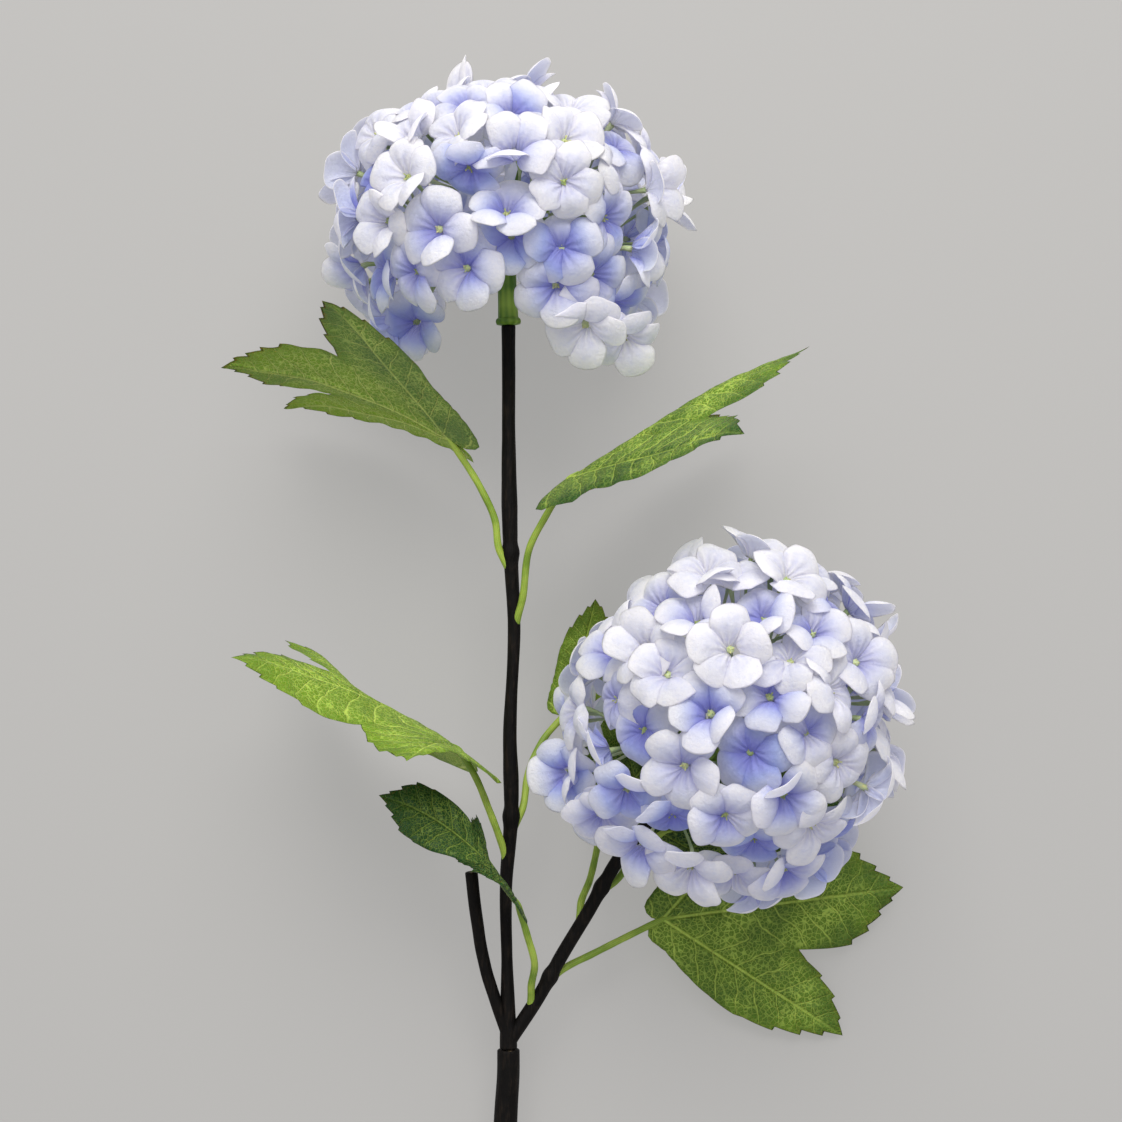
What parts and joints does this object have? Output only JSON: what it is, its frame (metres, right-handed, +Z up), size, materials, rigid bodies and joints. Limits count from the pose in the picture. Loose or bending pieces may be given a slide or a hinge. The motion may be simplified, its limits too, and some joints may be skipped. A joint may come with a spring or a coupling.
{
  "type": "cut hydrangea spray",
  "caption": "Cut hydrangea spray lying down: a forked dark stem with domed heads of pale blue florets and three-lobed toothed leaves on green stalks.",
  "frame": {"origin": "middle of the spray's box on the surface it lies on", "axes": "+Y from the cut end towards the upper flower head, +X to the side of the lower head, +Z up from the surface"},
  "size_m": [0.2464, 0.4848, 0.1331],
  "materials": {
    "bark": "near-black brown bark, satin",
    "flower_stalk": "fresh green, ribbed, satin",
    "leaf_stalk": "yellow-green, satin",
    "leaf": "mid green with pale veins, greyer underneath, matte",
    "petal": "white to blue-violet, matte, thin"
  },
  "bodies": {
    "root": {"cut_stub": "bark", "leaf_blade_branch_left": "leaf", "leaf_blade_branch_right": "leaf", "leaf_blade_lower_left": "leaf", "leaf_blade_lower_right": "leaf", "leaf_blade_middle_left": "leaf", "leaf_blade_middle_right": "leaf", "leaf_blade_upper_left": "leaf", "leaf_blade_upper_right": "leaf", "leaf_stalk_branch_left": "leaf_stalk", "leaf_stalk_branch_right": "leaf_stalk", "leaf_stalk_lower_left": "leaf_stalk", "leaf_stalk_lower_right": "leaf_stalk", "leaf_stalk_middle_left": "leaf_stalk", "leaf_stalk_middle_right": "leaf_stalk", "leaf_stalk_upper_left": "leaf_stalk", "leaf_stalk_upper_right": "leaf_stalk", "lower_head_florets_01": "petal", "lower_head_florets_02": "petal", "lower_head_florets_03": "petal", "lower_head_florets_04": "petal", "lower_head_florets_05": "petal", "lower_head_florets_06": "petal", "lower_head_florets_07": "petal", "lower_head_florets_08": "petal", "lower_head_florets_09": "petal", "lower_head_florets_10": "petal", "lower_head_florets_11": "petal", "lower_head_florets_12": "petal", "lower_head_florets_13": "petal", "lower_head_florets_14": "petal", "lower_head_florets_15": "petal", "lower_head_florets_16": "petal", "lower_head_stalk": "flower_stalk", "main_stem": "bark", "side_branch": "bark", "trunk": "bark", "upper_head_florets_01": "petal", "upper_head_florets_02": "petal", "upper_head_florets_03": "petal", "upper_head_florets_04": "petal", "upper_head_florets_05": "petal", "upper_head_florets_06": "petal", "upper_head_florets_07": "petal", "upper_head_florets_08": "petal", "upper_head_florets_09": "petal", "upper_head_florets_10": "petal", "upper_head_florets_11": "petal", "upper_head_florets_12": "petal", "upper_head_florets_13": "petal", "upper_head_florets_14": "petal", "upper_head_florets_15": "petal", "upper_head_florets_16": "petal", "upper_head_stalk": "flower_stalk"}
  },
  "joints": []
}
